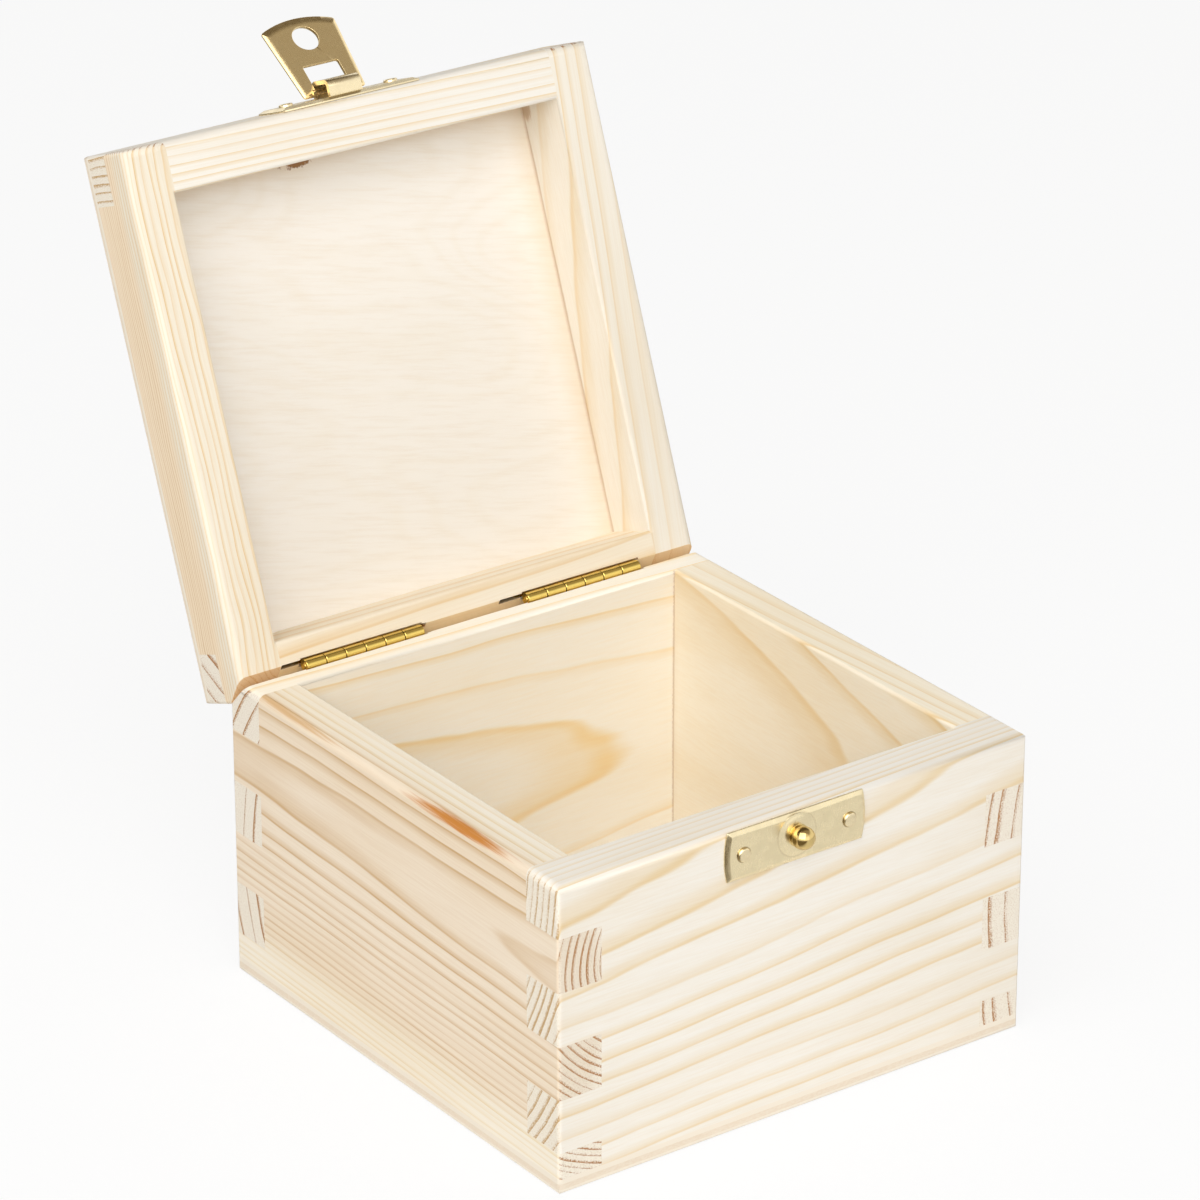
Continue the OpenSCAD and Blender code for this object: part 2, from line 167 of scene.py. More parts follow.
# %% [markdown]
# ## A white table and soft light
# The box stands on a white table. A large soft lamp at the front left, a weaker one in front and an even sky light
# it, so the front is a little brighter than the left side. The camera sees the sky as white. Brass is different: it
# shows whatever stands round it, so its rays meet a room that is bright at eye level, dimmer overhead and dark
# behind the box.

# %% Sky
WARM_WHITE = (1.0, 0.995, 0.985, 1)
EYE_LEVEL, OVERHEAD, BEHIND = (1.15, 1.14, 1.12, 1), (0.4, 0.35, 0.28, 1), (0.13, 0.1, 0.06, 1)
SKY_STRENGTH = 0.37
sky = bpy.data.worlds.new("studio")
scene.world = sky
sky.use_nodes = True
tree = sky.node_tree
tree.nodes.clear()
path = add_node(tree, "ShaderNodeLightPath")
direction = add_node(tree, "ShaderNodeTexCoord").outputs["Generated"]
ways = add_node(tree, "ShaderNodeSeparateXYZ", None, i0=direction)
overhead = ease(tree, ways.outputs["Z"], 0.42, 0.75)
behind = calc(tree, "MULTIPLY", ease(tree, ways.outputs["Y"], -0.1, 0.25), ease(tree, ways.outputs["Z"], 0.45, 0.6))
room = blend_colour(tree, behind, blend_colour(tree, overhead, EYE_LEVEL, OVERHEAD), BEHIND)
even = add_node(tree, "ShaderNodeBackground", None, Color=WARM_WHITE, Strength=SKY_STRENGTH)
seen = add_node(tree, "ShaderNodeBackground", None, Color=(1, 1, 1, 1), Strength=1.0)
shine = add_node(tree, "ShaderNodeBackground", None, Color=room, Strength=1.0)
glossy = add_node(tree, "ShaderNodeMixShader", None, i0=path.outputs["Is Glossy Ray"], i1=even.outputs[0],
                  i2=shine.outputs[0])
white_to = calc(tree, "MAXIMUM", path.outputs["Is Camera Ray"], path.outputs["Is Transmission Ray"])
studio = add_node(tree, "ShaderNodeMixShader", None, i0=white_to, i1=glossy.outputs[0], i2=seen.outputs[0])
add_node(tree, "ShaderNodeOutputWorld", None, Surface=studio.outputs[0])
print("sky:", len(tree.nodes), "nodes")


# %% Lamps
def soft_lamp(name, place, power, width):
    """A square lamp of soft light, aimed at the box; place and width in metres, power in watts."""
    data = bpy.data.lights.new(name, "AREA")
    data.shape = "SQUARE"
    data.size = width
    data.energy = power
    data.color = WARM_WHITE[:3]
    lamp = bpy.data.objects.new(name, data)
    scene.collection.objects.link(lamp)
    lamp.location = place
    box_middle = Vector((0, 0, 0.06))
    lamp.rotation_euler = (box_middle - lamp.location).to_track_quat("-Z", "Y").to_euler()
    print("lamp:", name, power, "W")


soft_lamp("left_window", (-0.95, -0.8, 1.3), power=30.0, width=2.0)
soft_lamp("front_window", (-0.2, -1.6, 1.0), power=5.6, width=2.0)

# %% [markdown]
# The camera sees the table mostly as plain white and partly as the lit surface that it is. The background then
# stays white, and the box's soft shadow still shows. To the left of the box, rays from the brass meet a shaded
# table, which gives the fittings their darker side.

# %% Table
SHADED = (0.2, 0.165, 0.11, 1)
WHITE_SHARE, TABLE_HALF = 0.85, 4.0
table_mesh = bmesh.new()
bmesh.ops.create_grid(table_mesh, x_segments=1, y_segments=1, size=TABLE_HALF)
table_data = bpy.data.meshes.new("table")
table_mesh.to_mesh(table_data)
table_mesh.free()
table = bpy.data.objects.new("table", table_data)
scene.collection.objects.link(table)
table_white, tree, out = new_material("table_white")
path = add_node(tree, "ShaderNodeLightPath")
matte = add_node(tree, "ShaderNodeBsdfDiffuse", None, Color=(0.9, 0.895, 0.885, 1))
plain = add_node(tree, "ShaderNodeEmission", None, Color=(1, 1, 1, 1), Strength=1.0)
share = calc(tree, "MULTIPLY", path.outputs["Is Camera Ray"], WHITE_SHARE)
both = add_node(tree, "ShaderNodeMixShader", None, i0=share, i1=matte.outputs[0], i2=plain.outputs[0])
here = add_node(tree, "ShaderNodeTexCoord").outputs["Object"]
sideways = add_node(tree, "ShaderNodeSeparateXYZ", None, i0=here).outputs["X"]
dim_side = calc(tree, "MULTIPLY", path.outputs["Is Glossy Ray"], ease(tree, sideways, 0.0, -0.07))
dim = add_node(tree, "ShaderNodeEmission", None, Color=SHADED, Strength=1.0)
lit = add_node(tree, "ShaderNodeMixShader", None, i0=dim_side, i1=both.outputs[0], i2=dim.outputs[0])
tree.links.new(lit.outputs[0], out.inputs["Surface"])
table_data.materials.append(table_white)
print("table:", 2 * TABLE_HALF, "m square")

# %% [markdown]
# ## Pine, as a solid
# A board is cut out of a trunk, so its lines are not drawn on it: they are growth rings, tubes round the pith that
# the saw has cut through. The pattern here works the same way. For each board it is told where the pith runs, and
# every point takes its place in a ring from its distance to that line. Long lines, arched figure and end grain then
# come from one recipe and meet at the edges, as on real wood.

# %% From a point of the board to a place in the trunk
def shut_place(tree, on_lid):
    """Object coordinates, in millimetres, with the lid shut."""
    here = add_node(tree, "ShaderNodeTexCoord").outputs["Object"]
    placed = add_node(tree, "ShaderNodeMapping", {"vector_type": "POINT"}, Vector=here)
    placed.inputs["Scale"].default_value = (1 / MM,) * 3
    if on_lid:
        shutting = opening.inverted()
        placed.inputs["Rotation"].default_value = shutting.to_euler("XYZ")
        placed.inputs["Location"].default_value = shutting.translation / MM
    return placed.outputs[0]


def trunk_place(tree, place, pith, along):
    """The same point measured in the trunk: x along the grain, y and z across it, the pith at zero."""
    x = Vector(along).normalized()
    helper = Vector((0, 0, 1)) if abs(x.z) < 0.9 else Vector((0, 1, 0))
    y = helper.cross(x).normalized()
    z = x.cross(y)
    turn = Matrix((x, y, z))
    placed = add_node(tree, "ShaderNodeMapping", {"vector_type": "POINT"}, Vector=place)
    placed.inputs["Rotation"].default_value = turn.to_euler("XYZ")
    placed.inputs["Location"].default_value = -(turn @ Vector(pith))
    return placed.outputs[0]


def away_from(tree, place, centre, size):
    """How far a point is from a centre, where size counts as 1 in each direction."""
    return vec(tree, "LENGTH", vec(tree, "DIVIDE", vec(tree, "SUBTRACT", place, centre), size), out="Value")


def facing(tree, way):
    """How squarely the surface faces a direction, from -1 to 1."""
    return vec(tree, "DOT_PRODUCT", add_node(tree, "ShaderNodeTexCoord").outputs["Normal"], way, "Value")


print("places in the trunk are measured in millimetres from the pith")

# %% [markdown]
# ### Growth rings
# Each ring starts pale and soft in spring and ends dark and hard in late summer, and then the next one starts at
# once. A ramp along the ring gives that: a long pale part, a slow darkening, a quick return. The rings wander a
# little, and some are stronger than others.

# %% Rings
def ring_count(tree, place, ring, first, growth, broad_heart):
    """Rings counted outwards from the dark line at the radius first; with growth they get broader on the way."""
    radius = vec(tree, "LENGTH", vec(tree, "MULTIPLY", place, (0, 1, 1)), out="Value")
    steps = calc(tree, "DIVIDE", calc(tree, "SUBTRACT", radius, first), ring)
    steps = calc(tree, "SUBTRACT", steps, calc(tree, "MULTIPLY", calc(tree, "MULTIPLY", steps, steps), growth / 2))
    return calc(tree, "MAXIMUM", steps, calc(tree, "MULTIPLY", steps, 0.6)) if broad_heart else steps


def late_wood(tree, place, steps, band, seed):
    """How dark a point of its ring is, from 0 in spring to 1 at the end, and the number of the ring."""
    uneven = add_node(tree, "ShaderNodeTexNoise", {"noise_dimensions": "1D"}, Scale=1.0, Detail=1.0,
                      W=calc(tree, "MULTIPLY_ADD", steps, 0.61, seed))
    steps = calc(tree, "ADD", steps, calc(tree, "MULTIPLY_ADD", uneven.outputs[0], 0.5, band[2] - 0.25))
    year = calc(tree, "FLOOR", steps)
    ramp = add_node(tree, "ShaderNodeValToRGB", None, Fac=calc(tree, "FRACT", steps))
    ramp.color_ramp.interpolation = "EASE"
    stops = ramp.color_ramp.elements
    stops[0].position, stops[0].color = band[0], (0, 0, 0, 1)
    stops[1].position, stops[1].color = band[1], (0.5, 0.5, 0.5, 1)
    for spot, shade in ((band[2], 1.0), (1.0, 0.0)):
        stops.new(spot).color = (shade, shade, shade, 1)
    luck = add_node(tree, "ShaderNodeTexWhiteNoise", {"noise_dimensions": "1D"},
                    W=calc(tree, "ADD", year, seed + 0.5)).outputs["Value"]
    fading = noise(tree, place, (0.03, 0.2, 0.2), 1.0).outputs[0]
    strength = calc(tree, "MULTIPLY", ease(tree, luck, 0, 1, 0.5, 1.0), ease(tree, fading, 0.3, 0.6, 0.75, 1.0))
    return calc(tree, "MULTIPLY", ramp.outputs[0], strength), year


print("a ring darkens slowly and ends at once")

# %% [markdown]
# ### Pine
# Colour follows the rings: pale to honey along the board, browner and harder on the sawn ends. Fine fibres and wide,
# faint clouds lie over it. A board may also have darker heartwood and marks of resin or glue. On the lid, the bevel
# along the back, where the wood was planed at a slant, gets a warmer, lighter tone: painted bounce light in the
# shaded groove between lid and base. Rings, fibres and eased edges also give the relief and the gloss.

# %% Tones of pine, its end grain and its surface
PALE = tone(242, 237, 228)
HONEY = tone(229, 201, 146)
END_PALE = tone(240, 232, 217)
END_BROWN = tone(178, 126, 70)
END_TAN = tone(200, 164, 112)
WORN_EDGE = tone(206, 176, 130)
BEVEL_WAY = (0, 6.3, -5.7)
INNER_FACE_X = 50.5


def sawn_end(tree, place, late, end_pale, end_dark):
    """The colour of end grain: hard, dark lines with pores."""
    pores = noise(tree, place, (0.4, 4.0, 4.0), 2.0).outputs[0]
    hard = ease(tree, calc(tree, "MULTIPLY", late, ease(tree, pores, 0.3, 0.65, 0.5, 1.5)), 0.12, 0.65)
    end_grain = blend_colour(tree, hard, end_pale, end_dark)
    return blend_colour(tree, ease(tree, pores, 0.45, 0.75, 0, 0.35), end_grain, end_dark, "MULTIPLY")


def coat(tree, out, colour, rough, height, strength, distance, **more):
    """Joins colour, roughness and a fine relief to the surface."""
    bump = add_node(tree, "ShaderNodeBump", None, Strength=strength, Distance=distance, Height=height)
    shader = add_node(tree, "ShaderNodeBsdfPrincipled", None, Base_Color=colour, Roughness=rough,
                      Normal=bump.outputs[0], **more)
    tree.links.new(shader.outputs[0], out.inputs["Surface"])


print("pine: pale", [round(v, 2) for v in PALE[:3]], "to honey", [round(v, 2) for v in HONEY[:3]])


# %% The pine recipe
def pine(name, pith, along, ring, first, growth=0.0, wave=0.5, on_lid=False, pale=PALE, honey=HONEY, depth=0.8,
         band=(0.45, 0.8, 0.92), marks=(), seed=0.0, heart=None, oldest=None, groove_bounce=None, end_dark=END_BROWN):
    """Pine with its rings round the line through pith that runs along the grain.

    ring is one ring's width, first the radius of a dark line, growth how rings broaden outwards, wave how far they
    wander, depth how dark they get, band where in a ring the dark starts, is half full and full. heart is the
    centre, size and three tones of darker heartwood. Rings before the year oldest are broader, and do not show on
    the inner face. marks are stains, each a centre, size, tone and amount. The groove tone is painted bounce light:
    a warmer tone for the back bevel, which lies in the shaded groove between lid and base.
    """
    made, tree, out = new_material(name)
    shut = shut_place(tree, on_lid)
    place = trunk_place(tree, shut, pith, along)
    slow = add_node(tree, "ShaderNodeTexNoise", None, Scale=1.0, Detail=3.0, Roughness=0.45,
                    Vector=vec(tree, "ADD", vec(tree, "MULTIPLY", place, (0.014, 0.05, 0.05)), (seed, seed, 0)))
    drift = vec(tree, "MULTIPLY", vec(tree, "SUBTRACT", slow.outputs["Color"], (0.5, 0.5, 0.5)),
                (0, 4 * wave, 4 * wave))
    steps = ring_count(tree, vec(tree, "ADD", place, drift), ring, first, growth, oldest is not None)
    late, year = late_wood(tree, place, steps, band, seed)
    if oldest is not None:
        across = add_node(tree, "ShaderNodeSeparateXYZ", None, i0=shut).outputs["X"]
        shows = calc(tree, "MAXIMUM", calc(tree, "GREATER_THAN", year, oldest - 0.5),
                     calc(tree, "GREATER_THAN", across, INNER_FACE_X))
        late = calc(tree, "MULTIPLY", late, shows)
    end_pale, warm = END_PALE, tuple(p * k for p, k in zip(pale[:3], (0.97, 0.92, 0.82))) + (1,)
    if heart:
        centre, size, heart_pale, heart_honey, heart_end = heart
        inside = ease(tree, away_from(tree, vec(tree, "ADD", shut, drift), centre, size), 1.12, 0.88)
        pale = blend_colour(tree, inside, pale, heart_pale)
        honey = blend_colour(tree, inside, honey, heart_honey)
        end_pale = blend_colour(tree, inside, END_PALE, heart_end)

    fibres = noise(tree, place, (0.05, 2.4, 2.4), 4.0, 0.65).outputs[0]
    clouds = noise(tree, place, (0.012, 0.06, 0.06), 2.0).outputs[0]
    colour = blend_colour(tree, calc(tree, "MULTIPLY", late, depth), pale, honey)
    colour = blend_colour(tree, ease(tree, clouds, 0.35, 0.75, 0.0, 0.3), colour, warm, "MULTIPLY")
    colour = blend_colour(tree, ease(tree, fibres, 0.35, 0.7, 0.0, 0.12), colour, honey, "MULTIPLY")
    sawn = ease(tree, calc(tree, "ABSOLUTE", facing(tree, as_drawn(along, on_lid))), 0.55, 0.8)
    colour = blend_colour(tree, sawn, colour, sawn_end(tree, place, late, end_pale, end_dark))
    for centre, size, stain, amount in marks:
        ragged = calc(tree, "ADD", away_from(tree, shut, centre, size), ease(tree, fibres, 0.2, 0.8, -0.25, 0.25))
        colour = blend_colour(tree, ease(tree, ragged, 1.0, 0.45, 0.0, amount), colour, stain)
    # Painted bounce light: the faces of the back bevel, in the shaded groove between lid and base, take a warmer,
    # lighter tone.
    if groove_bounce:
        bounce_share = ease(tree, facing(tree, as_drawn(BEVEL_WAY, on_lid)), 0.9, 0.97, 0.0, 0.75)
        colour = blend_colour(tree, bounce_share, colour, groove_bounce)
    worn = add_node(tree, "ShaderNodeAttribute", {"attribute_name": "soft_edge"}).outputs["Fac"]
    colour = blend_colour(tree, calc(tree, "MULTIPLY", worn, 0.25), colour, WORN_EDGE, "MULTIPLY")

    relief = calc(tree, "ADD", calc(tree, "MULTIPLY", late, 0.5), fibres)
    rough = ease(tree, calc(tree, "ADD", fibres, calc(tree, "MULTIPLY", late, -0.3)), 0.1, 0.8, 0.48, 0.66)
    coat(tree, out, colour, rough, relief, strength=0.25, distance=0.00006)
    print(name, "has", len(tree.nodes), "nodes")
    return made


# %% [markdown]
# ## Softened boards
# A sanded board has no sharp edge: a fine chamfer catches light along every corner, and the seams of the comb
# joints show as hairlines because both boards are eased there. The solids have the right shape, so each board is a
# copy of its solid. The copy's loose triangles are merged, flat areas are joined again, and the sharp edges get a
# tiny bevel. Narrow strips are shaded smooth and broad faces flat, so flats stay flat and rounds stay round.

# %% Copy a solid and ease its edges
BOARD_EDGE, PANEL_EDGE, PLATE_EDGE = 0.14, 0.12, 0.08


def eased_copy(node, width, body, material, least=0.6, angle=35):
    """A piece that stands for a node: merged, flats joined, edges sharper than angle bevelled by width, in mm."""
    bm = bmesh.new()
    bm.from_mesh(frame["nodes"][node].data)
    bmesh.ops.remove_doubles(bm, verts=bm.verts, dist=1e-6)
    bmesh.ops.dissolve_limit(bm, angle_limit=math.radians(0.5), verts=bm.verts, edges=bm.edges)
    edge_layer = bm.faces.layers.float.new("soft_edge")
    sharp = [e for e in bm.edges if e.calc_face_angle(0) > math.radians(angle) and e.calc_length() > least * MM]
    eased = bmesh.ops.bevel(bm, geom=sharp, offset=width * MM, offset_type="OFFSET", segments=2, profile=0.5,
                            affect="EDGES", clamp_overlap=True, material=-1)
    for face in eased["faces"]:
        face[edge_layer] = 1.0
    for face in bm.faces:
        face.smooth = face.calc_area() / face.calc_perimeter() < 0.3 * MM
    data = bpy.data.meshes.new(node + "_piece")
    bm.to_mesh(data)
    bm.free()
    piece = bpy.data.objects.new(node + "_piece", data)
    scene.collection.objects.link(piece)
    data.materials.append(material)
    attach(piece, body)
    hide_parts(node)
    print(piece.name, len(data.polygons), "faces")


# %% [markdown]
# ### The base boards
# The front is pale sapwood with broad, slanting honey lines. The left board was cut near the pith, so it is plain
# in the middle, finely lined below, and has a streak of resin along its upper edge. The back and right boards are
# cut flat and show arches inside the box, and a little glue shows in the corner between them.

# %% Base boards
SAP_WARM = tone(246, 238, 223)
STREAK = tone(196, 126, 48)
TAN = tone(208, 166, 112)
SEAM = tone(176, 130, 72)
front_pine = pine("pine_front", (0, 47, 80), (1, 0.03, 0), 2.05, 108.7, growth=0.028, seed=1.0,
                  end_dark=END_TAN)
left_pine = pine("pine_left", (-34.08, 0, 51.5), (0.0117, 1, 0.02), 1.65, 26.9, growth=-0.012, wave=0.4, seed=4.0,
                 pale=SAP_WARM, honey=tone(232, 210, 162), depth=0.95,
                 heart=((-62, 0, 42), (13, 600, 30), tone(241, 226, 205), tone(208, 170, 116), tone(232, 220, 201)),
                 marks=(((-59.8, -25.5, 70.3), (2.2, 22.5, 2.9), STREAK, 1.0),
                        ((-59.8, 40, 69.9), (2.2, 26, 1.3), TAN, 0.85)))
# The back and right boards have lighter tones than the same boards in the lid: painted light that lifts the shade
# inside the box.
back_pine = pine("pine_back", (-19.4, -3.25, 31.5), (1, -0.036, 0), 4.2, 54.1, wave=0.6, seed=7.0,
                 pale=tone(254, 248, 235), honey=tone(247, 219, 163), depth=1.0, band=(0.7, 0.87, 0.94),
                 marks=(((49.3, 48.75, 40), (0.5, 0.6, 60), SEAM, 0.45),
                        ((32, 48.75, 3.7), (24, 0.6, 0.7), SEAM, 0.6)))
right_pine = pine("pine_right", (208.1, 0, 30.5), (-0.066, 1, 0), 2.7, 160.35, wave=0.6, seed=9.0, oldest=0,
                  pale=tone(249, 240, 221), honey=tone(236, 209, 158), depth=1.0, band=(0.5, 0.82, 0.92))
for node, finish in (("base_front_board", front_pine), ("base_left_board", left_pine),
                     ("base_back_board", back_pine), ("base_right_board", right_pine)):
    eased_copy(node, BOARD_EDGE, "base", finish)

# %% [markdown]
# ### The lid boards
# The lid was sawn off the glued-up box, so its front, back and right boards carry on the rings of the boards below
# them: the recipe gets the same pith and the lid's shut place. Only the width of the saw cut is missing. The left
# board shows finer, wavier lines than the one below it, so it has a pith of its own.

# %% Lid boards
# The groove tones of the lid's left, back and right boards are painted bounce light on their back bevel.
lid_front_pine = pine("pine_lid_front", (0, 47, 80), (1, 0.03, 0), 2.05, 108.7, growth=0.028, seed=11.0,
                      on_lid=True, end_dark=END_TAN)
lid_left_pine = pine("pine_lid_left", (-16, 0, 20), (0.012, 1, 0.02), 1.5, 60.0, growth=-0.12, wave=1.8, seed=14.0,
                     on_lid=True, pale=tone(239, 230, 213), honey=tone(224, 190, 126), depth=1.0,
                     heart=((-63, 0, 88), (8, 600, 13), tone(243, 225, 198), tone(208, 168, 110),
                            tone(232, 219, 199)),
                     groove_bounce=tone(240, 196, 138))
lid_back_pine = pine("pine_lid_back", (-19.4, -3.25, 31.5), (1, -0.036, 0), 4.2, 54.1, wave=0.6, seed=7.0,
                     on_lid=True, pale=tone(243, 232, 212), honey=tone(230, 196, 138), depth=0.9,
                     groove_bounce=tone(255, 226, 178))
lid_right_pine = pine("pine_lid_right", (208.1, 0, 30.5), (-0.066, 1, 0), 2.7, 160.35, wave=0.6, seed=9.0,
                      on_lid=True, pale=tone(240, 233, 220), honey=tone(230, 205, 160), depth=0.85, oldest=0,
                      groove_bounce=tone(252, 214, 158),
                      marks=(((49.4, 0, 84.85), (0.5, 90, 0.6), SEAM, 0.45),
                             ((49.4, -47, 83.5), (0.8, 3, 2.2), SEAM, 0.6)))
for node, finish in (("lid_front_board", lid_front_pine), ("lid_left_board", lid_left_pine),
                     ("lid_back_board", lid_back_pine), ("lid_right_board", lid_right_pine)):
    eased_copy(node, BOARD_EDGE, "lid", finish)

# %% [markdown]
# ## Plywood panels
# The bottom and the top are birch plywood. Its face veneer is peeled off the log in one long sheet, so the rings
# lie nearly flat in it and show as faint, wide waves that lean a little. On the edges the three plies show, the
# middle one across. Inside the lid the veneer is painted paler towards the front left, painted light that lifts the
# shade of the lid's front and left boards. Along two edges it is stained by glue and darkened by painted shade from
# the boards beside it, and it has a chip at the front.

# %% Birch veneer
# The second colour on the next line is painted light: it lifts the shade near the lid's front and left boards.
VENEER, PAINTED_FILL_BIRCH = tone(238, 231, 220), tone(246, 240, 231)
WAVE_TAN, FIBRE_TAN = tone(229, 213, 184), tone(226, 204, 168)
VENEER_LEAN = -0.22
# Tone, direction, where the colour starts, where it is full (in mm) and how strong it is. The right and front edges
# are glue with painted shade from the boards beside them over it; the middle entry is the dark seam.
LID_GLUE_AND_SHADE = ((tone(222, 194, 144), "X", 42.5, 49.8, 0.3), (SEAM, "X", 48.6, 49.4, 0.35),
            (tone(206, 168, 112), "Y", -44.5, -49.5, 0.4))


def birch_face(tree, shut, spot, inside):
    """The face veneer; inside is the share of the lid's inner face, or None on a panel without it."""
    lean = add_node(tree, "ShaderNodeCombineXYZ", None, i1=calc(tree, "MULTIPLY", spot["X"], VENEER_LEAN)).outputs[0]
    leaning = vec(tree, "ADD", shut, lean)
    drift = noise(tree, leaning, (0.012, 0.03, 0.3), 1.5, 0.4).outputs[0]
    line = ease(tree, calc(tree, "PINGPONG", calc(tree, "MULTIPLY", drift, 16.0), 0.5), 0.2, 0.5)
    fibres = noise(tree, leaning, (0.09, 1.1, 1.1), 5.0, 0.7).outputs[0]
    face = VENEER
    if inside is not None:
        # Painted light: paler towards the front left, where the lid's front and left boards shade the inner face.
        painted_fill = calc(tree, "MAXIMUM", ease(tree, spot["X"], -20, -48), ease(tree, spot["Y"], 0, -44))
        face = blend_colour(tree, calc(tree, "MULTIPLY", painted_fill, inside), face, PAINTED_FILL_BIRCH)
    face = blend_colour(tree, calc(tree, "MULTIPLY", line, 0.1), face, WAVE_TAN)
    face = blend_colour(tree, ease(tree, fibres, 0.4, 0.75, 0.0, 0.16), face, FIBRE_TAN, "MULTIPLY")
    # Glue and painted shade: the inner face darkens towards the right and front boards, and the seam shows at the
    # right.
    for glue_and_shade, way, start, end, amount in LID_GLUE_AND_SHADE if inside is not None else ():
        stained = ease(tree, spot[way], start, end, 0.0, amount)
        face = blend_colour(tree, calc(tree, "MULTIPLY", stained, inside), face, glue_and_shade)
    return face, fibres


# Those edges carry glue and painted shade.
print("veneer stained by glue along", len({way for _, way, *_ in LID_GLUE_AND_SHADE}), "edges")

# %% Plywood
EDGE_PALE, EDGE_CORE = tone(239, 229, 213), tone(230, 214, 192)
CHIP_BROWN, CHIP_SIZE = tone(146, 102, 58), (4.2, 1.2, 1.0)


def birch_ply(name, low, high, on_lid=False, chip=None):
    """Three plies between the heights low and high; on the lid, the lower face is the inner one."""
    made, tree, out = new_material(name)
    shut = shut_place(tree, on_lid)
    spot = add_node(tree, "ShaderNodeSeparateXYZ", None, i0=shut).outputs
    inside = ease(tree, spot["Z"], (low + high) / 2, low) if on_lid else None
    face, fibres = birch_face(tree, shut, spot, inside)
    middle = calc(tree, "DIVIDE", calc(tree, "SUBTRACT", spot["Z"], low), high - low)
    core = calc(tree, "MULTIPLY", ease(tree, middle, 0.3, 0.34), ease(tree, middle, 0.7, 0.66))
    end_fibres = noise(tree, shut, (1.2, 1.2, 3.0), 3.0).outputs[0]
    edge = blend_colour(tree, calc(tree, "MULTIPLY", core, ease(tree, end_fibres, 0.3, 0.7, 0.5, 1.0)),
                        EDGE_PALE, EDGE_CORE)
    flat = ease(tree, calc(tree, "ABSOLUTE", facing(tree, as_drawn((0, 0, 1), on_lid))), 0.5, 0.8)
    colour = blend_colour(tree, flat, edge, face)
    if chip:
        ragged = calc(tree, "ADD", away_from(tree, shut, chip, CHIP_SIZE),
                      ease(tree, end_fibres, 0.25, 0.75, -0.3, 0.3))
        colour = blend_colour(tree, ease(tree, ragged, 1.0, 0.6), colour, CHIP_BROWN)
    coat(tree, out, colour, ease(tree, fibres, 0.2, 0.8, 0.5, 0.64), fibres, strength=0.08, distance=0.00004)
    print(name, "has", len(tree.nodes), "nodes")
    return made


bottom_ply = birch_ply("birch_bottom", 0, 3.5)
top_ply = birch_ply("birch_top", 84.85, 87.05, on_lid=True, chip=(-10.4, -47.9, 84.85))
eased_copy("base_bottom_panel", PANEL_EDGE, "base", bottom_ply)
eased_copy("lid_top_panel", PANEL_EDGE, "lid", top_ply)

# %% [markdown]
# ## Brass
# The fittings are thin brass-plated steel with a satin lacquer: pale gold, not a mirror. A metal takes its colour
# from its reflection, so the base colour is the gold itself, and a fine noise in the roughness breaks up the shine.
# The strike plate has painted shade in thin dark rings round its nails and its boss, where they meet the plate.

# %% Satin brass
# The dark tone and ring width below paint shade where the nail heads and the boss meet the plate.
RUBBED_GOLD, RING_SHADE = tone(250, 236, 200), tone(112, 84, 40)
RING_SHADE_WIDTH = 0.3


def brass(name, gold, low=0.22, high=0.36, brush=0.06, shade_rings=()):
    """Brass of one gold; the last argument lists painted shade rings on the shut box's front: (x, z, radius,
    amount).
    """
    made, tree, out = new_material(name)
    here = add_node(tree, "ShaderNodeTexCoord").outputs["Object"]
    cloudy = add_node(tree, "ShaderNodeTexNoise", None, Scale=420.0, Detail=3.0, Vector=here).outputs[0]
    brushed = noise(tree, here, (2600.0, 2600.0, 300.0), 3.0, 0.6).outputs[0]
    duller = tuple(g * 0.84 for g in gold[:3]) + (1,)
    colour = blend_colour(tree, ease(tree, cloudy, 0.35, 0.7, 0.0, 0.4), gold, duller)
    worn = add_node(tree, "ShaderNodeAttribute", {"attribute_name": "soft_edge"}).outputs["Fac"]
    colour = blend_colour(tree, calc(tree, "MULTIPLY", worn, 0.35), colour, RUBBED_GOLD)
    # Painted shade: a thin dark ring round each nail head and the boss, where it meets the plate.
    for x, z, radius, amount in shade_rings:
        flat = vec(tree, "MULTIPLY", vec(tree, "SUBTRACT", shut_place(tree, False), (x, 0, z)), (1, 0, 1))
        off = calc(tree, "ABSOLUTE", calc(tree, "SUBTRACT", vec(tree, "LENGTH", flat, out="Value"), radius))
        colour = blend_colour(tree, ease(tree, off, RING_SHADE_WIDTH, 0.0, 0.0, amount), colour, RING_SHADE)
    mixed = calc(tree, "MULTIPLY_ADD", brushed, 0.5, calc(tree, "MULTIPLY", cloudy, 0.5))
    coat(tree, out, colour, ease(tree, mixed, 0.3, 0.7, low, high), brushed, strength=brush, distance=0.00002,
         Metallic=1.0)
    print(name, "has", len(tree.nodes), "nodes")
    return made


plate_brass = brass("satin_brass", tone(238, 222, 184))
tongue_brass = brass("tongue_brass", tone(250, 227, 176))
# The rings given to the strike plate are painted shade round its nails and its boss.
strike_brass = brass("strike_brass", tone(240, 225, 186),
                     shade_rings=((-14.6, 64.1, 1.6, 0.7), (12.4, 64.1, 1.6, 0.7), (-1.1, 64.7, 4.9, 0.15)))
knob_brass = brass("turned_brass", tone(216, 190, 128), 0.12, 0.2, 0.0)
hinge_brass = brass("rolled_brass", tone(234, 204, 112), 0.14, 0.22, 0.01)

# %% [markdown]
# ### The hasp plate
# The hasp plate has a loop pressed out of its middle. Its solid has that shape already, so it stays a copy with
# eased edges.

# %% Hasp plate
eased_copy("hasp_plate", PLATE_EDGE, "lid", plate_brass, least=0.15)

